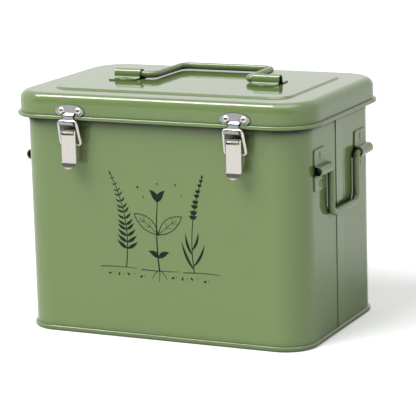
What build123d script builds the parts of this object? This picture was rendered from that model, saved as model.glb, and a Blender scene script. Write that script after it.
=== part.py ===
from build123d import *
import math
import os

# Garden seed organizer box: a painted steel tin with a hinged slip-over lid, two toggle latches,
# a folding wire handle on the lid, a hanging wire handle on each side and a partition for seed packets.
# Millimetres, +Z up, front towards -Y, origin at floor level under the middle of the box.

# ---- Box: overall sizes ----
overall_width = 215.0          # across the lid's rolled edge
overall_depth = 145.0          # across the lid's rolled edge
overall_height = 161.0         # floor to the raised panel of the lid
sheet = 0.6                    # steel sheet of body, pan, lid and partition
body_corner_radius = 20.0      # outside of the upright corners

# ---- Lid ----
lid_depth = 17.5               # lower edge to raised panel
lid_overhang = 5.2             # outside of the skirt beyond the body wall
lid_bead_reach = 2.1           # rolled edge beyond the skirt
lid_bead_height = 2.8
lid_edge_radius = 6.0          # soft edge between skirt and top
lid_panel_inset = 20.0         # raised panel's foot, in from the skirt
lid_panel_rise = 1.0
lid_panel_slope = 1.6          # width of the slope round the panel
lid_panel_corner_radius = 12.0

# ---- Body and base ----
rim_curl_radius = 1.2          # safe edge rolled outwards at the mouth
lid_rest_gap = 0.3             # between the mouth's curl and the inside of the lid
base_seam_reach = 1.6          # seam round the foot beyond the body wall
base_seam_height = 3.4
base_seam_fold = 0.8           # metal of the seam under the body's lower edge
base_pad_drop = 2.2            # stamped pad of the pan below its rim
base_pad_inset = 6.8           # pad's foot, in from the body wall
lap_seam_y = -7.0              # upright lap seam on the right wall
lap_seam_step = 0.45
lap_seam_fade = 14.0

# ---- Partition and month cards ----
partition_height = 112.0
partition_flange = 8.0
partition_scoop_radius = 45.0
partition_scoop_depth = 9.0
card_side_gap = 3.2            # card to the foot of the pad's side
card_height = 100.0
card_thickness = 0.6
card_pitch = 2.6
cards_per_side = 6
card_rear_gap = 5.0            # last card in front of the pad's rear edge
card_partition_gap = 3.0
tab_width = 15.0
tab_height = 8.0
tab_radius = 2.0

# ---- Saddle clips and wire handles ----
clip_sheet = 0.9
clip_length = 19.0             # along the wire
clip_span = 27.0               # over both feet
clip_foot_bend = 1.8
clip_corner_radius = 1.8
clip_rivet_offset = 9.2        # from the wire's axis
wire_radius = 2.3
wire_play = 0.35               # wire in the bore of a clip
wire_lift = 0.6                # underside of the wire above the sheet
clip_rivet_head_radius = 2.8
clip_rivet_head_height = 0.8
rivet_shank_radius = 1.1

lid_clip_x = 50.3              # middle of each lid clip
lid_handle_clip_gap = 0.4      # wire's bend to the nearer clip
lid_handle_grip_x = 33.4       # corners of the grip
lid_handle_reach = 43.6
lid_handle_slide = 2.6         # the loose wire lies this far to the right in its clips
lid_handle_bend = 4.0
lid_handle_corner = 6.0
lid_handle_end_inset = 4.0      # wire's ends, in from the clips' outer ends

side_clip_corner_gap = 0.3     # clip to the start of the body's corner
side_handle_axis_drop = 29.5   # below the lid's lower edge
side_handle_drop = 31.5
side_handle_bend = 3.6
side_handle_corner = 6.0
side_handle_end_inset = 5.1

# ---- Toggle latches ----
latch_x = 58.4
latch_sheet = 0.8
keeper_width = 20.8
keeper_height = 8.7
keeper_rise = 5.9              # plate's middle above the lid's lower edge
keeper_rivet_x = 6.0
keeper_rivet_head_radius = 2.6
keeper_rivet_head_height = 1.7
keeper_neck_width = 7.0         # at the plate; it flares to the hook's width
keeper_neck_start = 1.2         # below the rivets' line
keeper_neck_step = 1.4          # height of the step over the bead
keeper_neck_bend = 0.9
hook_width = 10.5
hook_inner_radius = 1.9
hook_angle = 174.0             # degrees of curl from the neck to the lip
bar_behind_hook_gap = 0.35     # bail bar off the keeper's neck
bar_below_hook_centre = 0.2
lever_pivot_reach = 7.8        # lever pin off the body wall
lever_pivot_drop = 6.9         # below the lid's lower edge
bail_pivot_reach = 5.2
bail_pivot_drop = 8.8          # below the lever pin
bail_wire_radius = 1.0
bail_bar_half = 6.4            # wire axis, at the bar
bail_foot_half = 7.3           # wire axis, beside the lever
bail_end_half = 4.1
bail_bend = 1.7
bail_bar_drop = 0.3            # below the lid's lower edge
lever_width = 10.6
lever_ear_radius = 1.7
lever_lobe_radius = 1.9
lever_toe_radius = 1.2
lever_toe_drop = 20.0          # this and the next two are below the lever pin
lever_web_top_drop = 2.4
lever_edge_radius = 1.1
lever_tip_drop = 24.3
lever_tip_curl = 7.0            # radius of the thumb tip's curl
lever_tip_angle = 50.0
lever_tip_root = 1.0            # tongue's straight part below the toe
lever_pin_radius = 0.85
lever_pin_half = 5.5
latch_plate_width = 8.0
latch_plate_bottom_drop = 19.6  # below the lever pin, as the next two
latch_plate_ramp_drop = 6.2
latch_plate_ramp_end = 2.0      # below the lever pin
latch_plate_bend = 1.2
latch_rivet_drops = (15.6, 9.6)
latch_rivet_head_radius = 1.9
latch_rivet_head_height = 0.8
pivot_clearance = 0.05
side_clearance = 0.3
cut_margin = 1.0               # cuts run this far past a face

# ---- Hinges ----
hinge_x = 58.0
hinge_sheet = 0.9
hinge_width = 26.0
hinge_pin_radius = 1.2
hinge_pin_drop = 3.5           # below the lid's lower edge
hinge_pin_head_radius = 1.9
hinge_pin_head_height = 0.8
hinge_lid_knuckle = 8.6        # length of the lid's middle knuckle
hinge_lid_leaf_rise = 10.7     # top of the leaf above the lid's lower edge
hinge_body_leaf_drop = 18.0    # bottom of the leaf below the pin
hinge_body_ramp_drop = 6.8
hinge_ramp_height = 3.0
hinge_step_start = 2.2          # above the lid's bead
hinge_step_end = 0.2
hinge_bend = 1.2
hinge_corner_radius = 3.0
hinge_rivet_x = 8.2
hinge_lid_rivet_rise = 7.9
hinge_body_rivet_drop = 12.5
hinge_rivet_head_radius = 1.9
hinge_rivet_head_height = 0.8

# ---- Derived sizes ----
body_width = overall_width - 2 * (lid_overhang + lid_bead_reach)
body_depth = overall_depth - 2 * (lid_overhang + lid_bead_reach)
lid_bottom_z = overall_height - lid_depth
lid_rim_z = overall_height - lid_panel_rise
rim_curl_centre = rim_curl_radius - sheet
lid_corner_in = lid_edge_radius - sheet
curl_to_corner = rim_curl_centre - (lid_overhang - sheet - lid_corner_in)
curl_room = lid_corner_in - rim_curl_radius - lid_rest_gap
rim_top_z = lid_rim_z - lid_edge_radius + math.sqrt(curl_room**2 - curl_to_corner**2) + rim_curl_radius
pad_half_width = body_width / 2 - base_pad_inset
pad_half_depth = body_depth / 2 - base_pad_inset
pan_top_z = base_pad_drop + sheet
card_width = pad_half_width - card_partition_gap - card_side_gap
clip_bore_radius = wire_radius + wire_play
wire_axis_height = wire_radius + wire_lift
lid_handle_arm_x = lid_clip_x - clip_length / 2 - lid_handle_bend - lid_handle_slide - lid_handle_clip_gap
lid_handle_end_x = lid_clip_x + clip_length / 2 - lid_handle_end_inset
side_clip_y = body_depth / 2 - body_corner_radius - side_clip_corner_gap - clip_length / 2
side_handle_axis_z = lid_bottom_z - side_handle_axis_drop
side_handle_leg_y = side_clip_y - clip_length / 2 - side_handle_bend
side_handle_end_y = side_clip_y + clip_length / 2 - side_handle_end_inset
keeper_z = lid_bottom_z + keeper_rise
bail_bar_z = lid_bottom_z - bail_bar_drop
lever_pivot_z = lid_bottom_z - lever_pivot_drop
bail_pivot_z = lever_pivot_z - bail_pivot_drop
lever_toe_z = lever_pivot_z - lever_toe_drop
lever_web_top_z = lever_pivot_z - lever_web_top_drop
lever_tip_z = lever_pivot_z - lever_tip_drop
latch_plate_bottom_z = lever_pivot_z - latch_plate_bottom_drop
latch_plate_ramp_z = lever_pivot_z - latch_plate_ramp_drop
hinge_pin_z = lid_bottom_z - hinge_pin_drop
hinge_lid_leaf_top_z = lid_bottom_z + hinge_lid_leaf_rise
hinge_body_leaf_bottom_z = hinge_pin_z - hinge_body_leaf_drop
hinge_body_leaf_ramp_z = hinge_pin_z - hinge_body_ramp_drop
hinge_lid_rivet_z = lid_bottom_z + hinge_lid_rivet_rise
hinge_body_rivet_z = hinge_pin_z - hinge_body_rivet_drop
neck_reach = lid_overhang + lid_bead_reach + latch_sheet / 2
bail_bar_reach = neck_reach + latch_sheet / 2 + bar_behind_hook_gap + bail_wire_radius
hook_centre_reach = neck_reach + latch_sheet / 2 + hook_inner_radius
hook_centre_z = bail_bar_z + bar_below_hook_centre
lever_face_reach = lever_pivot_reach + lever_ear_radius
hinge_knuckle_radius = hinge_pin_radius + pivot_clearance + hinge_sheet / 2
hinge_leaf_reach = lid_overhang + lid_bead_reach + hinge_sheet / 2
hinge_pin_reach = hinge_leaf_reach - hinge_knuckle_radius

# Section planes: local x points away from the wall, local y points up.
front_section = Plane(origin=(0, -body_depth / 2, 0), x_dir=(0, -1, 0), z_dir=(-1, 0, 0))
back_section = Plane(origin=(0, body_depth / 2, 0), x_dir=(0, 1, 0), z_dir=(1, 0, 0))


def rounded_block(width, depth, radius, bottom, height):
    """Upright block on a rounded rectangle."""
    return Pos(0, 0, bottom) * extrude(RectangleRounded(width, depth, radius), height)


def body_block(offset, bottom, height):
    """The body's outline, grown by an offset and raised to a height."""
    width = body_width + 2 * offset
    depth = body_depth + 2 * offset
    return rounded_block(width, depth, body_corner_radius + offset, bottom, height)


def sloped_pad(half_width, half_depth, radius, bottom, height, spread):
    """Block whose sides lean outwards by a spread over its height."""
    low = Pos(0, 0, bottom) * RectangleRounded(2 * half_width, 2 * half_depth, radius)
    high = Pos(0, 0, bottom + height) * RectangleRounded(
        2 * (half_width + spread), 2 * (half_depth + spread), radius + max(spread, 0)
    )
    return loft([low, high], ruled=True)


def perimeter_edges(part, top):
    """Edges of the highest or the lowest flat face."""
    faces = part.faces().filter_by(Axis.Z).sort_by(Axis.Z)
    return (faces[-1] if top else faces[0]).outer_wire().edges()


def bent_sheet(section, path, thickness, width):
    """Sheet bent along a path in a section plane, with its width along the wall."""
    return extrude(section * trace(path, thickness), width / 2, both=True)


def rivet(head_radius, head_height, shank_length):
    """Domed rivet whose head sits on z = 0 and whose shank points down."""
    shank = Polyline(
        (0, head_height), (0, -shank_length), (rivet_shank_radius, -shank_length),
        (rivet_shank_radius, 0), (head_radius, 0),
    )
    dome_radius = (head_radius**2 + head_height**2) / (2 * head_height)
    half = math.asin(head_radius / dome_radius) / 2
    middle = (
        dome_radius * math.sin(half),
        head_height - dome_radius * (1 - math.cos(half)),
    )
    dome = ThreePointArc((head_radius, 0), middle, (0, head_height))
    profile = Plane.XZ * make_face([shank, dome])
    return revolve(profile, Axis.Z)


def outward(x, y, z, direction):
    """Place for a rivet: its head points along a direction."""
    return Plane(origin=(x, y, z), z_dir=direction).location


def in_pairs(middle, offset):
    """Places of a pair of rivets on each side of the box, from left to right."""
    return (-middle - offset, -middle + offset, middle - offset, middle + offset)


def grouped(solids):
    """Separate solids kept in one node."""
    return Compound(children=list(solids))


# ---------------------------------------------------------------- base and body
def make_base_pan():
    """Stamped pan whose rim is seamed round the body's lower edge."""
    foot = body_block(base_seam_reach, 0, base_seam_height)
    seam_round = base_seam_height * 0.42
    foot = fillet(perimeter_edges(foot, True) + perimeter_edges(foot, False), seam_round)
    wall_slot = body_block(0, base_seam_fold, base_seam_height) - body_block(-sheet, 0, 2 * base_seam_height)
    foot -= wall_slot
    foot -= body_block(-2 * sheet, pan_top_z, base_seam_height)
    corner = body_corner_radius - base_pad_inset
    pocket = sloped_pad(pad_half_width, pad_half_depth, corner, sheet, base_pad_drop, base_pad_drop)
    pad = sloped_pad(pad_half_width, pad_half_depth, corner, 0, base_pad_drop, base_pad_drop)
    groove = body_block(-2 * sheet, 0, base_pad_drop) - pad
    return foot - pocket - groove


def make_body_shell():
    """Wrapped wall with a curled mouth and a lapped upright seam on the right."""
    wall_top = rim_top_z - rim_curl_radius
    wall = body_block(0, base_seam_fold, wall_top - base_seam_fold)
    curl = body_block(2 * rim_curl_radius - sheet, rim_top_z - 2 * rim_curl_radius, 2 * rim_curl_radius)
    curl = fillet(perimeter_edges(curl, True) + perimeter_edges(curl, False), 0.98 * rim_curl_radius)
    hollow = body_block(-sheet, 0, overall_height)
    seam_x = body_width / 2
    lap_outline = make_face(
        Polyline(
            (seam_x - sheet / 2, lap_seam_y), (seam_x + lap_seam_step, lap_seam_y),
            (seam_x, lap_seam_y + lap_seam_fade), (seam_x - sheet / 2, lap_seam_y + lap_seam_fade),
            close=True,
        )
    )
    lap_height = rim_top_z - 2 * rim_curl_radius - base_seam_height
    lap = Pos(0, 0, base_seam_height) * extrude(lap_outline, lap_height)
    return wall + curl - hollow + lap


def make_partition():
    """Upright sheet between the two rows, flanged to the front and back walls, with a finger scoop."""
    inside = body_depth / 2 - sheet
    corner = base_pad_inset + base_pad_drop + sheet
    outline = Polyline(
        (-inside, corner), (-inside + corner, sheet), (inside - corner, sheet), (inside, corner),
        (inside, partition_height), (-inside, partition_height), close=True,
    )
    scoop_centre = partition_height + partition_scoop_radius - partition_scoop_depth
    face = make_face(outline) - Pos(0, scoop_centre) * Circle(partition_scoop_radius)
    plate = extrude(Plane.YZ * face, sheet / 2, both=True)
    for side in (-1, 1):
        flange = Box(partition_flange, sheet, partition_height - corner)
        middle = (corner + partition_height) / 2
        plate += Pos(-sheet / 2 + partition_flange / 2, side * (inside - sheet / 2), middle) * flange
    return plate


def make_month_cards(side):
    """Index cards of one row, standing at the back, with staggered rounded tabs."""
    cards = []
    left = side * (card_partition_gap + card_width / 2) - card_width / 2
    tab_step = (card_width - tab_width) / (cards_per_side - 1)
    for number in range(cards_per_side):
        card = Pos(left + card_width / 2, card_height / 2) * Rectangle(card_width, card_height)
        tab_middle = left + tab_width / 2 + number * tab_step
        tab = Rectangle(tab_width, 2 * tab_height)
        tab = fillet(tab.vertices().group_by(Axis.Y)[-1], tab_radius)
        face = card + Pos(tab_middle, card_height) * tab
        y = pad_half_depth - card_rear_gap - (cards_per_side - 1 - number) * card_pitch
        stand = Plane(origin=(0, y, sheet), x_dir=(1, 0, 0), z_dir=(0, -1, 0))
        cards.append(extrude(stand * face, card_thickness).solid())
    return grouped(cards)


# ---------------------------------------------------------------- lid
def make_lid_shell():
    """Slip-over lid: soft edge, raised panel and a rolled bead round the skirt."""
    height = lid_rim_z - lid_bottom_z
    shell = body_block(lid_overhang, lid_bottom_z, height)
    shell = fillet(perimeter_edges(shell, True), lid_edge_radius)
    inside = body_block(lid_overhang - sheet, lid_bottom_z - cut_margin, height + cut_margin - sheet)
    inside = fillet(perimeter_edges(inside, True), lid_corner_in)
    bead = body_block(lid_overhang + lid_bead_reach, lid_bottom_z, lid_bead_height)
    bead_round = 0.49 * lid_bead_height
    bead = fillet(perimeter_edges(bead, True) + perimeter_edges(bead, False), bead_round)
    half_width = body_width / 2 + lid_overhang - lid_panel_inset
    half_depth = body_depth / 2 + lid_overhang - lid_panel_inset
    inner_width = half_width - lid_panel_slope
    inner_depth = half_depth - lid_panel_slope
    foot_corner = lid_panel_corner_radius + lid_panel_slope

    def panel(z):
        low = Pos(0, 0, z) * RectangleRounded(2 * half_width, 2 * half_depth, foot_corner)
        high = Pos(0, 0, z + lid_panel_rise) * RectangleRounded(
            2 * inner_width, 2 * inner_depth, lid_panel_corner_radius
        )
        return loft([low, high], ruled=True)

    return shell + bead + panel(lid_rim_z) - inside - panel(lid_rim_z - sheet)


# ---------------------------------------------------------------- saddle clips and wire handles
def make_saddle_clip(section):
    """Strap with two riveted feet and an arch over the wire; the arch runs along the section's normal."""
    half = clip_span / 2
    middle = clip_sheet / 2
    arch = clip_bore_radius + middle
    bend = clip_foot_bend
    path = [
        Line((middle, -half), (middle, -arch - bend)),
        CenterArc((middle + bend, -arch - bend), bend, 180, -90),
        Line((middle + bend, -arch), (wire_axis_height, -arch)),
        CenterArc((wire_axis_height, 0), arch, -90, 180),
        Line((wire_axis_height, arch), (middle + bend, arch)),
        CenterArc((middle + bend, arch + bend), bend, -90, -90),
        Line((middle, arch + bend), (middle, half)),
    ]
    strap = bent_sheet(section, path, clip_sheet, clip_length)
    view = Plane(origin=section.origin, x_dir=section.y_dir, z_dir=section.x_dir)
    strap &= extrude(view * RectangleRounded(clip_span, clip_length, clip_corner_radius), clip_span)
    for side in (-1, 1):
        hole = section.location * Pos(0, side * clip_rivet_offset, 0) * Rot(0, 90, 0)
        strap -= hole * Cylinder(rivet_shank_radius, 4 * clip_sheet)
    return strap


def clip_rivets(section, direction):
    """The two rivets of one saddle clip."""
    rivets = []
    for side in (-1, 1):
        seat = section.from_local_coords((clip_sheet, side * clip_rivet_offset, 0))
        place = outward(seat.X, seat.Y, seat.Z, direction)
        rivets.append(place * rivet(clip_rivet_head_radius, clip_rivet_head_height, clip_sheet))
    return rivets


def lid_clip_section(side):
    """Section plane of a lid clip: local x up from the lid, local y towards the back."""
    return Plane(origin=(side * lid_clip_x, 0, overall_height), x_dir=(0, 0, 1), z_dir=(-1, 0, 0))


def side_clip_section(side, end):
    """Section plane of a side clip: local x away from the wall, local y up."""
    origin = (side * body_width / 2, end * side_clip_y, side_handle_axis_z)
    return Plane(origin=origin, x_dir=(side, 0, 0), z_dir=(0, -side, 0))


def bent_wire(plane, points, radii, radius):
    """Round wire along a filleted line drawn in a plane."""
    path = plane * FilletPolyline(*points, radius=radii)
    start = Plane(origin=path @ 0, z_dir=path % 0)
    return sweep(start * Circle(radius), path=path)


def make_lid_handle():
    """U-shaped wire whose ends turn outwards into the two lid clips, folded back on the lid."""
    points = [
        (-lid_handle_end_x, 0), (-lid_handle_arm_x, 0), (-lid_handle_grip_x, lid_handle_reach),
        (lid_handle_grip_x, lid_handle_reach), (lid_handle_arm_x, 0), (lid_handle_end_x, 0),
    ]
    radii = [lid_handle_bend, lid_handle_corner, lid_handle_corner, lid_handle_bend]
    plane = Plane(origin=(lid_handle_slide, 0, overall_height + wire_axis_height))
    return bent_wire(plane, points, radii, wire_radius)


def make_side_handle(side):
    """U-shaped wire that hangs from the two clips of one side wall."""
    points = [
        (-side_handle_end_y, 0), (-side_handle_leg_y, 0), (-side_handle_leg_y, -side_handle_drop),
        (side_handle_leg_y, -side_handle_drop), (side_handle_leg_y, 0), (side_handle_end_y, 0),
    ]
    radii = [side_handle_bend, side_handle_corner, side_handle_corner, side_handle_bend]
    x = side * (body_width / 2 + wire_axis_height)
    plane = Plane(origin=(x, 0, side_handle_axis_z), x_dir=(0, 1, 0), z_dir=(1, 0, 0))
    return bent_wire(plane, points, radii, wire_radius)


# ---------------------------------------------------------------- toggle latches
def make_keeper():
    """Oval plate on the skirt whose neck steps over the bead and ends in an open hook."""
    plate_reach = lid_overhang + latch_sheet / 2
    neck = FilletPolyline(
        (plate_reach, keeper_z), (plate_reach, keeper_z - keeper_neck_start),
        (neck_reach, keeper_z - keeper_neck_start - keeper_neck_step), (neck_reach, hook_centre_z),
        radius=keeper_neck_bend,
    )
    hook_radius = hook_inner_radius + latch_sheet / 2
    hook = CenterArc((hook_centre_reach, hook_centre_z), hook_radius, 180, hook_angle)
    half_neck = keeper_neck_width / 2
    half_hook = hook_width / 2
    plate_bottom = -keeper_height / 2
    hook_middle = hook_centre_z - keeper_z
    hook_bottom = hook_middle - hook_radius - latch_sheet
    outline = Polyline(
        (half_neck, 0), (half_neck, plate_bottom), (half_hook, hook_middle), (half_hook, hook_bottom),
        (-half_hook, hook_bottom), (-half_hook, hook_middle), (-half_neck, plate_bottom),
        (-half_neck, 0), close=True,
    )
    origin = (0, -body_depth / 2 - lid_overhang, keeper_z)
    face = Plane(origin=origin, x_dir=(1, 0, 0), z_dir=(0, -1, 0))
    keeper = bent_sheet(front_section, neck.edges() + hook.edges(), latch_sheet, hook_width)
    keeper &= extrude(face * make_face(outline), keeper_width, both=True)
    plate = extrude(face * Ellipse(keeper_width / 2, keeper_height / 2), latch_sheet)
    keeper += plate - body_block(lid_overhang + lid_bead_reach, lid_bottom_z, lid_bead_height)
    for side in (-1, 1):
        hole = face.location * Pos(side * keeper_rivet_x, 0, 0)
        keeper -= hole * Cylinder(rivet_shank_radius, 4 * latch_sheet)
    return keeper


def make_keeper_rivets():
    """Two domed rivets on each keeper."""
    y = -body_depth / 2 - lid_overhang - latch_sheet
    rivets = []
    for x in in_pairs(latch_x, keeper_rivet_x):
        place = outward(x, y, keeper_z, (0, -1, 0))
        rivets.append(place * rivet(keeper_rivet_head_radius, keeper_rivet_head_height, latch_sheet))
    return grouped(rivets)


def make_latch_plate():
    """Plate on the body wall that ramps out and rolls into the barrel for the lever pin."""
    middle = latch_sheet / 2
    roll = lever_pin_radius + pivot_clearance + middle
    ramp = FilletPolyline(
        (middle, latch_plate_bottom_z), (middle, latch_plate_ramp_z),
        (lever_pivot_reach - roll, lever_pivot_z - latch_plate_ramp_end),
        (lever_pivot_reach - roll, lever_pivot_z), radius=latch_plate_bend,
    )
    barrel = CenterArc((lever_pivot_reach, lever_pivot_z), roll, 180, -270)
    plate = bent_sheet(front_section, ramp.edges() + barrel.edges(), latch_sheet, latch_plate_width)
    for drop in latch_rivet_drops:
        z = lever_pivot_z - drop
        hole = outward(0, -body_depth / 2, z, (0, -1, 0))
        plate -= hole * Cylinder(rivet_shank_radius, 4 * latch_sheet)
    return plate


def make_latch_plate_rivets():
    """Two rivets hidden behind each lever."""
    rivets = []
    for x in (-latch_x, latch_x):
        for drop in latch_rivet_drops:
            place = outward(x, -body_depth / 2 - latch_sheet, lever_pivot_z - drop, (0, -1, 0))
            rivets.append(place * rivet(latch_rivet_head_radius, latch_rivet_head_height, latch_sheet))
    return grouped(rivets)


def make_latch_lever():
    """Pressed channel with ears on the pin, lobes for the bail and a curled thumb tip."""
    circles = [
        CenterArc((lever_pivot_reach, lever_pivot_z), lever_ear_radius, 0, 360),
        CenterArc((bail_pivot_reach, bail_pivot_z), lever_lobe_radius, 0, 360),
        CenterArc((lever_face_reach - lever_toe_radius, lever_toe_z), lever_toe_radius, 0, 360),
    ]
    side_view = make_hull(circles)
    lever = extrude(front_section * side_view, lever_width / 2, both=True)
    face_y = -body_depth / 2 - lever_face_reach
    long_edges = lever.edges().filter_by(Axis.Z).filter_by_position(Axis.Y, face_y - 0.1, face_y + 0.1)
    lever = fillet(long_edges, lever_edge_radius)
    channel_width = lever_width - 2 * latch_sheet
    channel_depth = 2 * lever_face_reach
    channel = Box(channel_width, channel_depth, 4 * lever_toe_drop)
    lever -= Pos(0, face_y + latch_sheet + channel_depth / 2, bail_pivot_z) * channel
    above_web = Box(channel_width, channel_depth, lever_toe_drop)
    lever -= Pos(0, face_y, lever_web_top_z + lever_toe_drop / 2) * above_web
    web_reach = lever_face_reach - latch_sheet / 2
    curl = JernArc((web_reach, lever_toe_z), (0, -1), lever_tip_curl, lever_tip_angle)
    tongue = bent_sheet(front_section, curl, latch_sheet, lever_width)
    half = lever_width / 2
    root_z = lever_toe_z - lever_tip_root
    outline = make_face(
        [
            Line((-half, root_z), (-half, lever_toe_z)),
            Line((-half, lever_toe_z), (half, lever_toe_z)),
            Line((half, lever_toe_z), (half, root_z)),
            ThreePointArc((half, root_z), (0, lever_tip_z), (-half, root_z)),
        ]
    )
    view = Plane(origin=(0, face_y, 0), x_dir=(1, 0, 0), z_dir=(0, -1, 0))
    lever += tongue & extrude(view * outline, lever_tip_curl, both=True)
    for reach, z, radius in (
        (lever_pivot_reach, lever_pivot_z, lever_pin_radius),
        (bail_pivot_reach, bail_pivot_z, bail_wire_radius + pivot_clearance),
    ):
        lever -= Pos(0, -body_depth / 2 - reach, z) * Rot(0, 90, 0) * Cylinder(radius, 2 * lever_width)
    return lever


def make_latch_pin():
    """Pin through the lever's ears and the plate's barrel."""
    pin = Cylinder(lever_pin_radius, 2 * lever_pin_half)
    return Pos(0, -body_depth / 2 - lever_pivot_reach, lever_pivot_z) * Rot(0, 90, 0) * pin


def make_latch_bail():
    """Wire loop: its bar lies in the keeper's hook and its ends turn into the lever's lobes."""
    rise = bail_bar_z - bail_pivot_z
    out = bail_bar_reach - bail_pivot_reach
    length = math.hypot(rise, out)
    points = [
        (-bail_end_half, 0), (-bail_foot_half, 0), (-bail_bar_half, length),
        (bail_bar_half, length), (bail_foot_half, 0), (bail_end_half, 0),
    ]
    normal = Vector(0, -rise, -out)
    origin = (0, -body_depth / 2 - bail_pivot_reach, bail_pivot_z)
    plane = Plane(origin=origin, x_dir=(1, 0, 0), z_dir=normal)
    return bent_wire(plane, points, [bail_bend] * 4, bail_wire_radius)


# ---------------------------------------------------------------- hinges
def knuckle_band(width, bottom, top):
    """Block across a hinge between two heights, for trimming a leaf."""
    block = Box(width, 2 * hinge_pin_reach, top - bottom)
    return Pos(0, body_depth / 2 + hinge_pin_reach, (bottom + top) / 2) * block


def make_hinge_lid_leaf():
    """Leaf on the skirt that steps over the bead and rolls round the pin in the middle."""
    plate_reach = lid_overhang + hinge_sheet / 2
    bead_top = lid_bottom_z + lid_bead_height
    leaf = FilletPolyline(
        (plate_reach, hinge_lid_leaf_top_z), (plate_reach, bead_top + hinge_step_start),
        (hinge_leaf_reach, bead_top + hinge_step_end), (hinge_leaf_reach, hinge_pin_z), radius=hinge_bend,
    )
    roll = CenterArc((hinge_pin_reach, hinge_pin_z), hinge_knuckle_radius, 0, -270)
    part = bent_sheet(back_section, leaf.edges() + roll.edges(), hinge_sheet, hinge_width)
    outer = hinge_knuckle_radius + hinge_sheet / 2
    below = hinge_pin_z - outer - cut_margin
    above = hinge_pin_z + outer + side_clearance
    sides = knuckle_band(2 * hinge_width, below, above)
    sides -= knuckle_band(hinge_lid_knuckle, below - cut_margin, above + cut_margin)
    part -= sides
    part &= leaf_outline(hinge_pin_z - 2 * hinge_width, hinge_lid_leaf_top_z)
    return part - rivet_holes(hinge_lid_rivet_z)


def make_hinge_body_leaf():
    """Leaf on the back wall that steps out and rolls round the pin at both sides."""
    middle = hinge_sheet / 2
    inner = hinge_pin_reach - hinge_knuckle_radius
    leaf = FilletPolyline(
        (middle, hinge_body_leaf_bottom_z), (middle, hinge_body_leaf_ramp_z),
        (inner, hinge_body_leaf_ramp_z + hinge_ramp_height), (inner, hinge_pin_z), radius=hinge_bend,
    )
    roll = CenterArc((hinge_pin_reach, hinge_pin_z), hinge_knuckle_radius, 180, -270)
    part = bent_sheet(back_section, leaf.edges() + roll.edges(), hinge_sheet, hinge_width)
    outer = hinge_knuckle_radius + hinge_sheet / 2
    below = hinge_pin_z - outer - side_clearance
    above = hinge_pin_z + outer + cut_margin
    gap = knuckle_band(hinge_lid_knuckle + 2 * side_clearance, below, above)
    part &= leaf_outline(hinge_body_leaf_bottom_z, hinge_pin_z + 2 * hinge_width)
    return part - gap - rivet_holes(hinge_body_rivet_z)


def leaf_outline(bottom, top):
    """Block with rounded corners that gives a hinge leaf its outline."""
    view = Plane(origin=(0, body_depth / 2, (bottom + top) / 2), x_dir=(-1, 0, 0), z_dir=(0, 1, 0))
    outline = RectangleRounded(hinge_width, top - bottom, hinge_corner_radius)
    return extrude(view * outline, 4 * hinge_pin_reach)


def rivet_holes(z):
    """The two rivet holes of a hinge leaf at one height."""
    holes = []
    for side in (-1, 1):
        place = outward(side * hinge_rivet_x, body_depth / 2, z, (0, 1, 0))
        holes.append(place * Cylinder(rivet_shank_radius, 4 * hinge_leaf_reach))
    return holes


def make_hinge_pin():
    """Headed pin through all three knuckles."""
    half = hinge_width / 2 + side_clearance
    pin = Cylinder(hinge_pin_radius, 2 * half)
    for side in (-1, 1):
        head = Cylinder(hinge_pin_head_radius, hinge_pin_head_height)
        pin += Pos(0, 0, side * (half + hinge_pin_head_height / 2)) * head
    return Pos(0, body_depth / 2 + hinge_pin_reach, hinge_pin_z) * Rot(0, 90, 0) * pin


def make_hinge_rivets(reach, z):
    """Rivets of both hinges on one surface."""
    rivets = []
    for x in in_pairs(hinge_x, hinge_rivet_x):
        place = outward(x, body_depth / 2 + reach + hinge_sheet, z, (0, 1, 0))
        rivets.append(place * rivet(hinge_rivet_head_radius, hinge_rivet_head_height, hinge_sheet))
    return grouped(rivets)


# ---------------------------------------------------------------- nodes
def make_nodes():
    """Every node by name, each in its place."""
    nodes = {
        "body_shell": make_body_shell(),
        "base_pan": make_base_pan(),
        "partition": make_partition(),
        "month_cards_left": make_month_cards(-1),
        "month_cards_right": make_month_cards(1),
        "lid_shell": make_lid_shell(),
        "lid_handle_wire": make_lid_handle(),
        "keeper_rivets": make_keeper_rivets(),
        "latch_plate_rivets": make_latch_plate_rivets(),
        "hinge_lid_rivets": make_hinge_rivets(lid_overhang, hinge_lid_rivet_z),
        "hinge_body_rivets": make_hinge_rivets(0, hinge_body_rivet_z),
    }
    lid_rivets = []
    side_rivets = []
    for side, name in ((-1, "left"), (1, "right")):
        section = lid_clip_section(side)
        nodes[f"lid_clip_{name}"] = make_saddle_clip(section)
        lid_rivets += clip_rivets(section, (0, 0, 1))
        nodes[f"side_handle_{name}"] = make_side_handle(side)
        for end, place in ((-1, "front"), (1, "rear")):
            section = side_clip_section(side, end)
            nodes[f"side_clip_{name}_{place}"] = make_saddle_clip(section)
            side_rivets += clip_rivets(section, (side, 0, 0))
        at_latch = Pos(side * latch_x, 0, 0)
        nodes[f"keeper_{name}"] = at_latch * make_keeper()
        nodes[f"latch_plate_{name}"] = at_latch * make_latch_plate()
        nodes[f"latch_lever_{name}"] = at_latch * make_latch_lever()
        nodes[f"latch_pin_{name}"] = at_latch * make_latch_pin()
        nodes[f"latch_bail_{name}"] = at_latch * make_latch_bail()
        at_hinge = Pos(side * hinge_x, 0, 0)
        nodes[f"hinge_lid_leaf_{name}"] = at_hinge * make_hinge_lid_leaf()
        nodes[f"hinge_body_leaf_{name}"] = at_hinge * make_hinge_body_leaf()
        nodes[f"hinge_pin_{name}"] = at_hinge * make_hinge_pin()
    nodes["lid_clip_rivets"] = grouped(lid_rivets)
    nodes["side_clip_rivets"] = grouped(side_rivets)
    return nodes


os.makedirs("parts", exist_ok=True)
for node_name, node_part in make_nodes().items():
    export_step(node_part, f"parts/{node_name}.step")
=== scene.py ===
import math

import bpy
import numpy as np
from mathutils import Matrix, Vector


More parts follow.
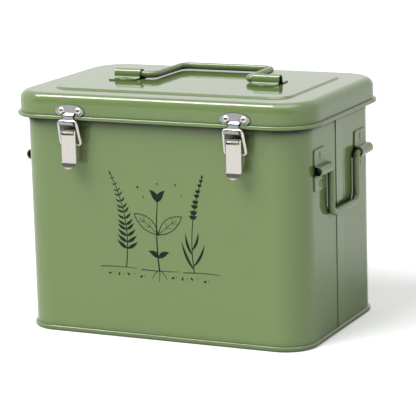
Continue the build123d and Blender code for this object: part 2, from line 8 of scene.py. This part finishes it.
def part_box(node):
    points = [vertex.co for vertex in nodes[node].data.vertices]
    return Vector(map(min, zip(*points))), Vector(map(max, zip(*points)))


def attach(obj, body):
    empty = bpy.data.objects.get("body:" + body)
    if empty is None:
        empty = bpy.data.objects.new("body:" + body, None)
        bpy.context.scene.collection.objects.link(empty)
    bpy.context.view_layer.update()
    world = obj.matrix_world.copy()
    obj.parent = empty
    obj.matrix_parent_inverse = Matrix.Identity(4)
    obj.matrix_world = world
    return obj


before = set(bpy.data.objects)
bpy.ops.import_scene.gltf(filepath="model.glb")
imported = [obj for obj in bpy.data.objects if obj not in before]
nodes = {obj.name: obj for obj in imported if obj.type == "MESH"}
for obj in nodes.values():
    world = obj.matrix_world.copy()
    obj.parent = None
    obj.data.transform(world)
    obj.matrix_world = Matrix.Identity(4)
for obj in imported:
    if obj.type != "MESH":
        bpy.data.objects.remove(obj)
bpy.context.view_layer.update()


# ------------------------------------------------------------------ camera
# The box is seen from a little above and from the right of its front, from about a metre away.
# The picture is 416 by 416, and the lens is given by how many pixels one radian covers.
PICTURE = 416
CAMERA_AZIMUTH = math.radians(25.15)
CAMERA_ELEVATION = math.radians(12.15)
CAMERA_ROLL = math.radians(-1.55)
CAMERA_DISTANCE = 1.426
LENS_PIXELS = 2129.0
AIM = Vector((0.0052, 0.0, 0.0751))


def add_camera():
    """Camera on a line through the aim point; its place is the aim plus distance times the direction
    (sin az cos el, -cos az cos el, sin el), turned about its own axis by the roll."""
    data = bpy.data.cameras.new("studio_camera")
    data.sensor_width = 36.0
    data.lens = 36.0 * LENS_PIXELS / PICTURE
    data.clip_start = 0.02
    camera = bpy.data.objects.new("studio_camera", data)
    bpy.context.scene.collection.objects.link(camera)
    level = math.cos(CAMERA_ELEVATION)
    side = math.sin(CAMERA_AZIMUTH) * level
    front = -math.cos(CAMERA_AZIMUTH) * level
    back = Vector((side, front, math.sin(CAMERA_ELEVATION)))
    turn = back.to_track_quat("Z", "Y").to_matrix().to_4x4()
    roll = Matrix.Rotation(CAMERA_ROLL, 4, "Z")
    camera.matrix_world = Matrix.Translation(AIM + back * CAMERA_DISTANCE) @ turn @ roll
    bpy.context.scene.camera = camera


add_camera()


# ------------------------------------------------------------------ floor and soft light
# A wide sheet of white paper under the box, in a white room whose camera side is darker in gloss.
# One broad lamp far off at the upper left front gives the soft shadow on the right, and a narrow
# softbox overhead draws the highlight lines on edges, bead and wires.
def add_floor():
    """Flat round sheet of radius 6 m: a ring of points round the middle, joined as one face."""
    angle = np.linspace(0, 2 * math.pi, 96, endpoint=False)
    ring = 6.0 * np.stack([np.cos(angle), np.sin(angle), 0 * angle], axis=1)
    mesh = bpy.data.meshes.new("floor_sheet")
    mesh.from_pydata(ring.tolist(), [], [list(range(len(ring)))])
    floor = bpy.data.objects.new("floor_sheet", mesh)
    bpy.context.scene.collection.objects.link(floor)
    paper = bpy.data.materials.new("backdrop_paper")
    paper.use_nodes = True
    tree = paper.node_tree
    shader = tree.nodes["Principled BSDF"]
    shader.inputs["Base Color"].default_value = (0.92, 0.92, 0.92, 1)
    shader.inputs["Roughness"].default_value = 1.0
    shader.inputs["Specular IOR Level"].default_value = 0.0
    shader.inputs["Emission Color"].default_value = (1, 1, 1, 1)
    ray = tree.nodes.new("ShaderNodeLightPath")
    glow = tree.nodes.new("ShaderNodeMath")
    glow.operation = "MULTIPLY"
    glow.inputs[1].default_value = 0.36
    tree.links.new(ray.outputs["Is Camera Ray"], glow.inputs[0])
    tree.links.new(glow.outputs[0], shader.inputs["Emission Strength"])
    mesh.materials.append(paper)


def add_key_lamp(name, direction, strength, spread):
    """Distant lamp whose rays come from a direction, as wide in the sky as the spread angle."""
    data = bpy.data.lights.new(name, "SUN")
    data.energy = strength
    data.angle = spread
    lamp = bpy.data.objects.new(name, data)
    bpy.context.scene.collection.objects.link(lamp)
    lamp.visible_glossy = False
    lamp.matrix_world = Vector(direction).to_track_quat("Z", "Y").to_matrix().to_4x4()


def add_softbox(name, place, aim, width, height, watts):
    """Rectangular lamp at a place, turned to face the aim point; it only shows as a reflection."""
    data = bpy.data.lights.new(name, "AREA")
    data.shape = "RECTANGLE"
    data.size = width
    data.size_y = height
    data.energy = watts
    lamp = bpy.data.objects.new(name, data)
    bpy.context.scene.collection.objects.link(lamp)
    lamp.visible_diffuse = False
    place = Vector(place)
    direction = place - Vector(aim)
    turn = direction.to_track_quat("Z", "Y").to_matrix().to_4x4()
    lamp.matrix_world = Matrix.Translation(place) @ turn


def add_white_room(matt_strength, gloss_strength, camera_side, ceiling):
    """White world: one strength for the light on matt surfaces, another for mirror rays, which is
    gloss * (1 - (1 - camera side) * smooth step of -y) + ceiling * smooth step of z."""
    world = bpy.data.worlds.new("white_room")
    bpy.context.scene.world = world
    world.use_nodes = True
    tree = world.node_tree
    background = tree.nodes["Background"]
    background.inputs["Color"].default_value = (1, 1, 1, 1)
    direction = tree.nodes.new("ShaderNodeTexCoord")
    parts = tree.nodes.new("ShaderNodeSeparateXYZ")
    tree.links.new(direction.outputs["Generated"], parts.inputs[0])
    fall = tree.nodes.new("ShaderNodeMapRange")
    fall.interpolation_type = "SMOOTHSTEP"
    fall.inputs["From Min"].default_value = -0.35
    fall.inputs["From Max"].default_value = -0.75
    fall.inputs["To Min"].default_value = gloss_strength
    fall.inputs["To Max"].default_value = gloss_strength * camera_side
    tree.links.new(parts.outputs["Y"], fall.inputs["Value"])
    rise = tree.nodes.new("ShaderNodeMapRange")
    rise.interpolation_type = "SMOOTHSTEP"
    rise.inputs["From Min"].default_value = 0.84
    rise.inputs["From Max"].default_value = 0.98
    rise.inputs["To Max"].default_value = ceiling
    tree.links.new(parts.outputs["Z"], rise.inputs["Value"])
    gloss = tree.nodes.new("ShaderNodeMath")
    tree.links.new(fall.outputs[0], gloss.inputs[0])
    tree.links.new(rise.outputs[0], gloss.inputs[1])
    ray = tree.nodes.new("ShaderNodeLightPath")
    strength = tree.nodes.new("ShaderNodeMix")
    strength.inputs["A"].default_value = matt_strength
    tree.links.new(ray.outputs["Is Glossy Ray"], strength.inputs["Factor"])
    tree.links.new(gloss.outputs[0], strength.inputs["B"])
    tree.links.new(strength.outputs["Result"], background.inputs["Strength"])


add_floor()
add_key_lamp("left_front_lamp", (-0.40, -0.60, 0.80), 2.75, math.radians(40))
add_softbox("overhead_softbox", (-0.55, -0.13, 1.25), (0, -0.05, 0.16), 0.45, 0.70, 12.0)
add_white_room(0.47, 1.08, 0.15, 3.0)
bpy.context.scene.view_settings.view_transform = "Standard"


# ------------------------------------------------------------------ painted sheet metal
# Wall, pan, partition, lid, clips and wires are steel sheet and wire with a glossy sage-green
# powder coat, sprayed on before assembly, so it has a faint orange peel under a clear gloss.
def new_group(name, inputs, outputs):
    """Empty shader group with named sockets and its own input and output nodes."""
    group = bpy.data.node_groups.new(name, "ShaderNodeTree")
    for label, kind, value in inputs:
        socket = group.interface.new_socket(label, in_out="INPUT", socket_type=kind)
        if value is not None:
            socket.default_value = value
    for label, kind in outputs:
        group.interface.new_socket(label, in_out="OUTPUT", socket_type=kind)
    return group, group.nodes.new("NodeGroupInput"), group.nodes.new("NodeGroupOutput")


def add_node(tree, kind, **settings):
    """Node of a kind with its properties set."""
    node = tree.nodes.new(kind)
    for key, value in settings.items():
        setattr(node, key, value)
    return node


def build_crevice_shade():
    """Group: painted shade for crevices and recesses: a colour times how open a point is within a short reach,
    where openness from 0.15 to Open is stretched to the range 0.15 to 1."""
    group, source, sink = new_group(
        "crevice_shade",
        [("Color", "NodeSocketColor", (0.5, 0.5, 0.5, 1)), ("Reach", "NodeSocketFloat", 0.010),
         ("Open", "NodeSocketFloat", 0.85)],
        [("Color", "NodeSocketColor")],
    )
    # painted shade: the colour is darkened where little open space lies around a point
    crevice = add_node(group, "ShaderNodeAmbientOcclusion", samples=8)
    openness = add_node(group, "ShaderNodeMapRange")
    openness.inputs["From Min"].default_value = 0.15
    openness.inputs["To Min"].default_value = 0.15
    shaded = add_node(group, "ShaderNodeVectorMath", operation="SCALE")
    group.links.new(source.outputs["Reach"], crevice.inputs["Distance"])
    group.links.new(source.outputs["Open"], openness.inputs["From Max"])
    group.links.new(crevice.outputs["AO"], openness.inputs["Value"])
    group.links.new(source.outputs["Color"], shaded.inputs[0])
    group.links.new(openness.outputs[0], shaded.inputs["Scale"])
    group.links.new(shaded.outputs[0], sink.inputs["Color"])
    return group


def build_overhang_mask():
    """Group: a mask of painted shade, 0 close under the lid's bead, 1 in the open. Rays are counted round the
    normal plus twice up, within 12 mm, and a share of 0.37 to 0.50 of them running free is stretched to
    0 to 1. Outside a band of heights round the rim the mask is 1."""
    group, source, sink = new_group(
        "overhang_shade_mask",
        [("Rim Height", "NodeSocketFloat", 0.140), ("Rim Band", "NodeSocketFloat", 0.008)],
        [("Clear", "NodeSocketFloat")],
    )
    facing = add_node(group, "ShaderNodeNewGeometry")
    upward = add_node(group, "ShaderNodeVectorMath", operation="ADD")
    upward.inputs[1].default_value = (0, 0, 2)
    unit = add_node(group, "ShaderNodeVectorMath", operation="NORMALIZE")
    free = add_node(group, "ShaderNodeAmbientOcclusion", samples=32)
    free.inputs["Distance"].default_value = 0.012
    clear = add_node(group, "ShaderNodeMapRange")
    clear.inputs["From Min"].default_value = 0.37
    clear.inputs["From Max"].default_value = 0.50
    group.links.new(facing.outputs["Normal"], upward.inputs[0])
    group.links.new(upward.outputs[0], unit.inputs[0])
    group.links.new(unit.outputs[0], free.inputs["Normal"])
    group.links.new(free.outputs["AO"], clear.inputs["Value"])
    place = add_node(group, "ShaderNodeTexCoord")
    height = add_node(group, "ShaderNodeSeparateXYZ")
    at_rim = add_node(group, "ShaderNodeMath", operation="COMPARE")
    away = add_node(group, "ShaderNodeMath", operation="SUBTRACT")
    away.inputs[0].default_value = 1.0
    result = add_node(group, "ShaderNodeMath", operation="MAXIMUM")
    group.links.new(place.outputs["Object"], height.inputs[0])
    group.links.new(height.outputs["Z"], at_rim.inputs[0])
    group.links.new(source.outputs["Rim Height"], at_rim.inputs[1])
    group.links.new(source.outputs["Rim Band"], at_rim.inputs[2])
    group.links.new(at_rim.outputs[0], away.inputs[1])
    group.links.new(away.outputs[0], result.inputs[0])
    group.links.new(clear.outputs[0], result.inputs[1])
    group.links.new(result.outputs[0], sink.inputs["Clear"])
    return group


def build_sprayed_coat():
    """Group: colour mottled by broad noise; roughness varied by fine noise; normal from a fine
    orange peel. Close under the lid's bead the colour carries painted shade: colour times clear; there
    the roughness is raised by 0.8 times (1 - clear)."""
    group, source, sink = new_group(
        "sprayed_coat",
        [("Color", "NodeSocketColor", (0.5, 0.5, 0.5, 1)), ("Mottle", "NodeSocketFloat", 0.04),
         ("Gloss Roughness", "NodeSocketFloat", 0.1), ("Peel", "NodeSocketFloat", 0.1),
         ("Rim Band", "NodeSocketFloat", 0.0)],
        [("Color", "NodeSocketColor"), ("Roughness", "NodeSocketFloat"), ("Normal", "NodeSocketVector")],
    )
    place = add_node(group, "ShaderNodeTexCoord")
    broad = add_node(group, "ShaderNodeTexNoise")
    broad.inputs["Scale"].default_value = 22.0
    broad.inputs["Detail"].default_value = 3.0
    fine = add_node(group, "ShaderNodeTexNoise")
    fine.inputs["Scale"].default_value = 900.0
    fine.inputs["Detail"].default_value = 2.0
    group.links.new(place.outputs["Object"], broad.inputs["Vector"])
    group.links.new(place.outputs["Object"], fine.inputs["Vector"])
    swing = add_node(group, "ShaderNodeMath", operation="SUBTRACT")
    swing.inputs[1].default_value = 0.5
    group.links.new(broad.outputs["Fac"], swing.inputs[0])
    amount = add_node(group, "ShaderNodeMath", operation="MULTIPLY_ADD")
    group.links.new(swing.outputs[0], amount.inputs[0])
    group.links.new(source.outputs["Mottle"], amount.inputs[1])
    amount.inputs[2].default_value = 1.0
    overhang = add_node(group, "ShaderNodeGroup", node_tree=overhang_shade_mask)
    group.links.new(source.outputs["Rim Band"], overhang.inputs["Rim Band"])
    # painted shade: the mottled tone times the overhang mask darkens the wall close under the lid's bead
    mottle_and_shade = add_node(group, "ShaderNodeMath", operation="MULTIPLY")
    group.links.new(amount.outputs[0], mottle_and_shade.inputs[0])
    group.links.new(overhang.outputs["Clear"], mottle_and_shade.inputs[1])
    tint = add_node(group, "ShaderNodeVectorMath", operation="SCALE")
    group.links.new(source.outputs["Color"], tint.inputs[0])
    group.links.new(mottle_and_shade.outputs[0], tint.inputs["Scale"])
    group.links.new(tint.outputs[0], sink.inputs["Color"])
    gloss = add_node(group, "ShaderNodeMath", operation="MULTIPLY_ADD")
    group.links.new(fine.outputs["Fac"], gloss.inputs[0])
    gloss.inputs[1].default_value = 0.03
    group.links.new(source.outputs["Gloss Roughness"], gloss.inputs[2])
    dry = add_node(group, "ShaderNodeMath", operation="MULTIPLY_ADD")
    group.links.new(overhang.outputs["Clear"], dry.inputs[0])
    dry.inputs[1].default_value = -0.8
    dry.inputs[2].default_value = 0.8
    rough = add_node(group, "ShaderNodeMath", operation="ADD")
    group.links.new(gloss.outputs[0], rough.inputs[0])
    group.links.new(dry.outputs[0], rough.inputs[1])
    group.links.new(rough.outputs[0], sink.inputs["Roughness"])
    peel = add_node(group, "ShaderNodeBump")
    peel.inputs["Distance"].default_value = 0.0001
    group.links.new(source.outputs["Peel"], peel.inputs["Strength"])
    group.links.new(fine.outputs["Fac"], peel.inputs["Height"])
    group.links.new(peel.outputs["Normal"], sink.inputs["Normal"])
    return group


crevice_shade = build_crevice_shade()
overhang_shade_mask = build_overhang_mask()
sprayed_coat = build_sprayed_coat()


def paint_material(name, color, gloss_roughness, rim_band):
    """Principled paint: the coat group gives colour, roughness and normal, and the crevice group darkens
    the colour in crevices and recesses as painted shade."""
    material = bpy.data.materials.new(name)
    material.use_nodes = True
    tree = material.node_tree
    shader = tree.nodes["Principled BSDF"]
    shader.inputs["IOR"].default_value = 1.6
    coat = add_node(tree, "ShaderNodeGroup", node_tree=sprayed_coat)
    coat.inputs["Color"].default_value = (*color, 1)
    coat.inputs["Gloss Roughness"].default_value = gloss_roughness
    coat.inputs["Rim Band"].default_value = rim_band
    # painted shade: the crevice group darkens the paint's colour in creases, bores and gaps
    shade = add_node(tree, "ShaderNodeGroup", node_tree=crevice_shade)
    tree.links.new(coat.outputs["Color"], shade.inputs["Color"])
    tree.links.new(shade.outputs["Color"], shader.inputs["Base Color"])
    tree.links.new(coat.outputs["Roughness"], shader.inputs["Roughness"])
    tree.links.new(coat.outputs["Normal"], shader.inputs["Normal"])
    return material


def dress(material, *names):
    """Gives CAD nodes one material in every slot."""
    for name in names:
        slots = nodes[name].material_slots
        if not slots:
            nodes[name].data.materials.append(material)
        for slot in slots:
            slot.material = material


SAGE = (0.150, 0.218, 0.074)
dress(paint_material("sage_powder_coat", SAGE, 0.03, 0.008), "body_shell", "base_pan", "partition", "lid_shell")
dress(
    paint_material("sage_coat_on_fittings", SAGE, 0.03, 0), "lid_clip_left", "lid_clip_right",
    "lid_clip_rivets", "lid_handle_wire", "side_clip_left_front", "side_clip_left_rear",
    "side_clip_right_front", "side_clip_right_rear", "side_clip_rivets", "side_handle_left",
    "side_handle_right", "hinge_lid_leaf_left", "hinge_lid_leaf_right", "hinge_body_leaf_left",
    "hinge_body_leaf_right", "hinge_pin_left", "hinge_pin_right", "hinge_lid_rivets", "hinge_body_rivets",
)


# ------------------------------------------------------------------ printed garden picture
# Three garden stems over a row of sown seeds, screen printed in one dark ink on the cured paint of
# the front wall, a film a few hundredths of a millimetre thick.
INK_FILM = 0.00004
INK_SINK = 0.00001
RIM_CURL_REACH = 0.0018
wall_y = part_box("body_shell")[0][1] + RIM_CURL_REACH


def ink_strip(points, widths):
    """Closed thin strip on the front wall: points in millimetres across and up, offset to both sides by
    half the width along the normal of the line, once on the film's face and once in the paint."""
    line = np.asarray(points, float) / 1000
    along = np.gradient(line, axis=0)
    along /= np.linalg.norm(along, axis=1, keepdims=True)
    normal = np.stack([-along[:, 1], along[:, 0]], axis=1) * np.asarray(widths, float)[:, None] / 2000
    left, right = line + normal, line - normal
    faces_y = (wall_y - INK_FILM, wall_y + INK_SINK)
    rows = [np.column_stack([side[:, 0], np.full(len(line), y), side[:, 1]]) for side, y in
            ((left, faces_y[0]), (right, faces_y[0]), (right, faces_y[1]), (left, faces_y[1]))]
    corners = np.stack(rows, axis=1).reshape(-1, 3)
    k = 4 * np.arange(len(line) - 1)[:, None]
    ring = np.arange(4)
    walls = np.stack([k + ring, k + (ring + 1) % 4, k + 4 + (ring + 1) % 4, k + 4 + ring], axis=2).reshape(-1, 4)
    last = 4 * (len(line) - 1)
    ends = np.array([[3, 2, 1, 0], [last, last + 1, last + 2, last + 3]])
    return corners, np.concatenate([walls, ends])


def curved_line(start, end, bow, steps=24):
    """Points from start to end, bowed sideways by a parabola of the given height."""
    t = np.linspace(0, 1, steps)[:, None]
    start, end = np.asarray(start, float), np.asarray(end, float)
    side = np.array([-(end - start)[1], (end - start)[0]]) / np.linalg.norm(end - start)
    return start + (end - start) * t + side * bow * 4 * t * (1 - t)


def stroke(start, end, bow, width, taper=0.35):
    """Pen line, thinner towards its tip."""
    line = curved_line(start, end, bow)
    return ink_strip(line, width * (1 - taper * np.linspace(0, 1, len(line))))


def leaf(base, angle, length, width, bow=0.0):
    """Filled leaf: its width follows the sine of the way along it, fuller near the base."""
    tip = np.asarray(base, float) + length * np.array([math.cos(angle), math.sin(angle)])
    line = curved_line(base, tip, bow, 14)
    t = np.linspace(0.02, 0.98, len(line))
    return ink_strip(line, width * np.sin(math.pi * t ** 0.8))


def dot(centre, size):
    """Round dot: a short strip whose width is the chord of a circle."""
    t = np.linspace(-0.96, 0.96, 9)
    line = np.asarray(centre, float) + np.column_stack([np.zeros(9), t * size / 2])
    return ink_strip(line, size * np.sqrt(1 - t ** 2))


def fern(foot, top, bow, pairs):
    """Bowed stem with pairs of narrow leaves that grow shorter towards the tip."""
    stem = curved_line(foot, top, bow, 60)
    strips = [stroke(foot, top, bow, 0.75)]
    for place in np.linspace(0.22, 0.97, pairs):
        base = stem[int(place * 59)]
        ahead = stem[min(int(place * 59) + 1, 59)] - stem[int(place * 59) - 1]
        heading = math.atan2(ahead[1], ahead[0])
        length = 10.0 * (1.12 - place)
        for side in (-1, 1):
            strips.append(leaf(base, heading + side * 0.95, length, 2.3 * (1.25 - place), side * 0.5))
    strips.append(leaf(stem[-1], math.atan2(*(stem[-1] - stem[-3])[::-1]), 3.2, 1.2))
    return strips


def seedling(foot, top):
    """Upright shoot with two seed leaves, two outlined broad leaves and rootlets under the soil line."""
    x, z = foot
    middle = (x, z + 0.52 * (top[1] - z))
    strips = [stroke(foot, top, 1.2, 1.0)]
    for side in (-1, 1):
        strips.append(leaf((x, z + 8), math.pi / 2 - side * 1.05, 8.5, 3.6, side * 0.8))
        tip = (x + side * 17, middle[1] + 13)
        strips.append(stroke(middle, tip, side * 4.6, 0.6, 0.1))
        strips.append(stroke(middle, tip, -side * 3.4, 0.6, 0.1))
        strips.append(stroke(middle, (x + side * 13.5, middle[1] + 10.6), side * 0.5, 0.45))
        for share in (0.35, 0.6):
            vein = np.array(middle) + share * (np.array(tip) - np.array(middle))
            strips.append(stroke(vein, vein + np.array([side * 3.8, 0.2]), side * 0.3, 0.35))
            strips.append(stroke(vein, vein + np.array([side * 0.2, 4.0]), side * 0.3, 0.35))
        strips.append(leaf(top, math.pi / 2 - side * 0.62, 9.5, 4.0, side * 0.9))
        strips.append(stroke(foot, (x + side * 5.2, z - 6.0), side * 0.8, 0.5))
    strips.append(stroke(foot, (x - 0.6, z - 8.0), 0.4, 0.5))
    strips.append(leaf(top, math.pi / 2, 5.0, 1.6))
    return strips


def bud_spike(foot, top, bow):
    """Bowed stem with long low leaves and whorls of small buds near its top."""
    stem = curved_line(foot, top, bow, 60)
    strips = [stroke(foot, top, bow, 0.7)]
    for place, turn, length in ((0.05, 0.42, 20.0), (0.08, -0.50, 17.0), (0.2, 0.30, 15.0), (0.24, -0.36, 13.0)):
        strips.append(leaf(stem[int(place * 59)], math.pi / 2 + turn, length, 1.8, 1.2 * math.copysign(1, turn)))
    for place in np.linspace(0.56, 0.98, 8):
        base = stem[int(place * 59)]
        reach = 3.4 * (1.32 - place)
        for side in (-1, 1):
            strips.append(leaf(base, math.pi / 2 - side * 0.85, reach * 1.5, 1.9, side * 0.3))
            strips.append(leaf(base, math.pi / 2 - side * 0.35, reach * 1.4, 1.5, side * 0.2))
    strips.append(leaf(stem[-1], math.pi / 2, 3.0, 1.4))
    return strips


def soil_and_seeds(left, right, z):
    """Hand-drawn soil line in three strokes, with seeds sown at even steps below it."""
    strips = []
    for start, end, bow in ((left, left + 27, 0.5), (left + 30, right - 29, -0.4), (right - 26, right, 0.5)):
        strips.append(stroke((start, z), (end, z + 0.4), bow, 0.6, 0.5))
    for number, x in enumerate(np.arange(left + 6, right - 4, 7.6)):
        if abs(x) > 7:
            strips.append(leaf((x, z - 4.6 - 0.7 * (number % 2)), 0.5 + 0.9 * (number % 3), 2.5, 1.3))
            strips.append(dot((x + 3.6, z - 3.2 - 0.8 * (number % 2)), 0.7))
    return strips


ink = fern((-24, 47), (-33, 108), -5.0, 13) + seedling((0, 47), (0, 92)) + bud_spike((25, 47), (32, 109), 4.0)
ink += soil_and_seeds(-43, 43, 46.6)
for centre, size in (((-14, 101), 1.5), ((-10, 95), 1.0), ((13, 104), 1.3), ((17, 97), 0.9), ((0, 104), 1.1)):
    ink.append(dot(centre, size))
starts = np.cumsum([0] + [len(corners) for corners, faces in ink[:-1]])
points = np.concatenate([corners for corners, faces in ink])
layer = np.repeat(np.linspace(0, 0.00004, len(ink)), [len(corners) for corners, faces in ink])
points[:, 1] -= np.where(points[:, 1] < wall_y, layer, 0)
quads = np.concatenate([faces + start for (corners, faces), start in zip(ink, starts)])
picture_mesh = bpy.data.meshes.new("garden_picture")
picture_mesh.from_pydata(points.tolist(), [], quads.tolist())
garden_picture = bpy.data.objects.new("garden_picture", picture_mesh)
bpy.context.scene.collection.objects.link(garden_picture)


def ink_material():
    """Dark screen ink: greener where fine noise shows a thinner film, half matt with a faint mesh texture."""
    material = bpy.data.materials.new("dark_screen_ink")
    material.use_nodes = True
    tree = material.node_tree
    shader = tree.nodes["Principled BSDF"]
    shader.inputs["Specular IOR Level"].default_value = 0.2
    place = add_node(tree, "ShaderNodeTexCoord")
    mottle_and_shade = add_node(tree, "ShaderNodeTexNoise")
    mottle_and_shade.inputs["Scale"].default_value = 1600.0
    mottle_and_shade.inputs["Detail"].default_value = 3.0
    tree.links.new(place.outputs["Object"], mottle_and_shade.inputs["Vector"])
    tone = add_node(tree, "ShaderNodeMix", data_type="RGBA")
    tone.inputs["A"].default_value = (0.004, 0.008, 0.006, 1)
    tone.inputs["B"].default_value = (0.014, 0.024, 0.013, 1)
    tree.links.new(mottle_and_shade.outputs["Fac"], tone.inputs["Factor"])
    tree.links.new(tone.outputs["Result"], shader.inputs["Base Color"])
    rough = add_node(tree, "ShaderNodeMath", operation="MULTIPLY_ADD")
    rough.inputs[1].default_value = 0.2
    rough.inputs[2].default_value = 0.3
    tree.links.new(mottle_and_shade.outputs["Fac"], rough.inputs[0])
    tree.links.new(rough.outputs[0], shader.inputs["Roughness"])
    bump = add_node(tree, "ShaderNodeBump")
    bump.inputs["Strength"].default_value = 0.2
    bump.inputs["Distance"].default_value = 0.00003
    tree.links.new(mottle_and_shade.outputs["Fac"], bump.inputs["Height"])
    tree.links.new(bump.outputs["Normal"], shader.inputs["Normal"])
    return material


picture_mesh.materials.append(ink_material())
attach(garden_picture, "tin")


# ------------------------------------------------------------------ toggle latches
# Levers, bails, plates, pins and rivets are stamped steel and wire, bright nickel plated; the keepers are zinc
# plated.
def plated_material(name, color, roughness):
    """Polished plating: a metal with stretched noise in its roughness and colour and a faint grain, and painted
    shade in its crevices.
    """
    material = bpy.data.materials.new(name)
    material.use_nodes = True
    tree = material.node_tree
    shader = tree.nodes["Principled BSDF"]
    shader.inputs["Metallic"].default_value = 1.0
    place = add_node(tree, "ShaderNodeTexCoord")
    stretch = add_node(tree, "ShaderNodeMapping")
    stretch.inputs["Scale"].default_value = (2500.0, 2500.0, 160.0)
    grain = add_node(tree, "ShaderNodeTexNoise")
    grain.inputs["Scale"].default_value = 1.0
    tree.links.new(place.outputs["Object"], stretch.inputs["Vector"])
    tree.links.new(stretch.outputs["Vector"], grain.inputs["Vector"])
    rough = add_node(tree, "ShaderNodeMath", operation="MULTIPLY_ADD")
    rough.inputs[1].default_value = 0.12
    rough.inputs[2].default_value = roughness
    tree.links.new(grain.outputs["Fac"], rough.inputs[0])
    tree.links.new(rough.outputs[0], shader.inputs["Roughness"])
    tone = add_node(tree, "ShaderNodeMix", data_type="RGBA")
    tone.inputs["A"].default_value = (*color, 1)
    tone.inputs["B"].default_value = (*[c * 0.86 for c in color], 1)
    tree.links.new(grain.outputs["Fac"], tone.inputs["Factor"])
    # painted shade: the crevice group darkens the plating's colour in its recesses
    shade = add_node(tree, "ShaderNodeGroup", node_tree=crevice_shade)
    shade.inputs["Reach"].default_value = 0.004
    shade.inputs["Open"].default_value = 0.60
    tree.links.new(tone.outputs["Result"], shade.inputs["Color"])
    tree.links.new(shade.outputs["Color"], shader.inputs["Base Color"])
    bump = add_node(tree, "ShaderNodeBump")
    bump.inputs["Strength"].default_value = 0.15
    bump.inputs["Distance"].default_value = 0.00005
    tree.links.new(grain.outputs["Fac"], bump.inputs["Height"])
    tree.links.new(bump.outputs["Normal"], shader.inputs["Normal"])
    return material


bright_nickel = plated_material("bright_nickel", (0.76, 0.73, 0.68), 0.10)
zinc = plated_material("zinc_plate", (0.42, 0.43, 0.44), 0.16)
dress(bright_nickel, "latch_lever_left", "latch_lever_right", "latch_bail_left", "latch_bail_right",
      "latch_pin_left", "latch_pin_right", "latch_plate_left", "latch_plate_right", "latch_plate_rivets",
      "keeper_rivets")
dress(zinc, "keeper_left", "keeper_right")


# ------------------------------------------------------------------ month cards
# Die-cut buff card, uncoated, with visible fibres.
def card_material():
    """Paper: base colour flecked by fibre noise, matt, with a soft bump."""
    material = bpy.data.materials.new("buff_card")
    material.use_nodes = True
    tree = material.node_tree
    shader = tree.nodes["Principled BSDF"]
    shader.inputs["Roughness"].default_value = 0.85
    place = add_node(tree, "ShaderNodeTexCoord")
    fibre = add_node(tree, "ShaderNodeTexNoise")
    fibre.inputs["Scale"].default_value = 1200.0
    fibre.inputs["Detail"].default_value = 4.0
    tree.links.new(place.outputs["Object"], fibre.inputs["Vector"])
    tone = add_node(tree, "ShaderNodeMix", data_type="RGBA")
    tone.inputs["A"].default_value = (0.62, 0.47, 0.28, 1)
    tone.inputs["B"].default_value = (0.78, 0.64, 0.42, 1)
    tree.links.new(fibre.outputs["Fac"], tone.inputs["Factor"])
    tree.links.new(tone.outputs["Result"], shader.inputs["Base Color"])
    bump = add_node(tree, "ShaderNodeBump")
    bump.inputs["Strength"].default_value = 0.3
    bump.inputs["Distance"].default_value = 0.0001
    tree.links.new(fibre.outputs["Fac"], bump.inputs["Height"])
    tree.links.new(bump.outputs["Normal"], shader.inputs["Normal"])
    return material


dress(card_material(), "month_cards_left", "month_cards_right")


# ------------------------------------------------------------------ numbers on the card tabs
# The twelve tabs carry the numbers 1 to 12 for the months, printed in dark brown.
TAB_WIDTH = 0.015
TAB_HEIGHT = 0.008
NUMBER_HEIGHT = 0.0055
NUMBER_FILM = 0.00003


def number_mesh(text, middle):
    """Outline of the figures, thickened to a film and turned upright on the card's face."""
    curve = bpy.data.curves.new("figures", "FONT")
    curve.body = text
    curve.size = NUMBER_HEIGHT
    curve.extrude = NUMBER_FILM / 2
    curve.align_x = "CENTER"
    curve.align_y = "CENTER"
    curve.resolution_u = 4
    drawn = bpy.data.objects.new("figures", curve)
    bpy.context.scene.collection.objects.link(drawn)
    bpy.context.view_layer.update()
    shape = bpy.data.meshes.new_from_object(drawn.evaluated_get(bpy.context.evaluated_depsgraph_get()))
    bpy.data.objects.remove(drawn)
    shape.transform(Matrix.Translation(middle) @ Matrix.Rotation(math.pi / 2, 4, "X"))
    return shape


def number_row(name, node, first):
    """Six numbers, one on each tab: tabs step evenly from the row's left to its right end, and cards
    from its front to its back."""
    low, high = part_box(node)
    shapes = []
    for step in range(6):
        share = step / 5
        x = low[0] + TAB_WIDTH / 2 + share * (high[0] - low[0] - TAB_WIDTH)
        y = low[1] + share * (high[1] - low[1] - 0.0006) - NUMBER_FILM / 2
        shapes.append(number_mesh(str(first + step), Vector((x, y, high[2] - TAB_HEIGHT / 2))))
    counts = np.cumsum([0] + [len(shape.vertices) for shape in shapes])
    vertices, faces = [], []
    for shape, count in zip(shapes, counts):
        vertices += [tuple(v.co) for v in shape.vertices]
        faces += [[count + k for k in polygon.vertices] for polygon in shape.polygons]
    mesh = bpy.data.meshes.new(name)
    mesh.from_pydata(vertices, [], [[int(k) for k in face] for face in faces])
    row = bpy.data.objects.new(name, mesh)
    bpy.context.scene.collection.objects.link(row)
    mesh.materials.append(number_ink)
    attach(row, "tin")


def number_ink_material():
    """Brown ink soaked into card: two tones mixed by fibre noise, matt."""
    material = bpy.data.materials.new("brown_card_ink")
    material.use_nodes = True
    tree = material.node_tree
    shader = tree.nodes["Principled BSDF"]
    shader.inputs["Roughness"].default_value = 0.8
    place = add_node(tree, "ShaderNodeTexCoord")
    soak = add_node(tree, "ShaderNodeTexNoise")
    soak.inputs["Scale"].default_value = 2000.0
    tree.links.new(place.outputs["Object"], soak.inputs["Vector"])
    tone = add_node(tree, "ShaderNodeMix", data_type="RGBA")
    tone.inputs["A"].default_value = (0.020, 0.012, 0.008, 1)
    tone.inputs["B"].default_value = (0.080, 0.050, 0.030, 1)
    tree.links.new(soak.outputs["Fac"], tone.inputs["Factor"])
    tree.links.new(tone.outputs["Result"], shader.inputs["Base Color"])
    return material


number_ink = number_ink_material()
number_row("numbers_left", "month_cards_left", 1)
number_row("numbers_right", "month_cards_right", 7)
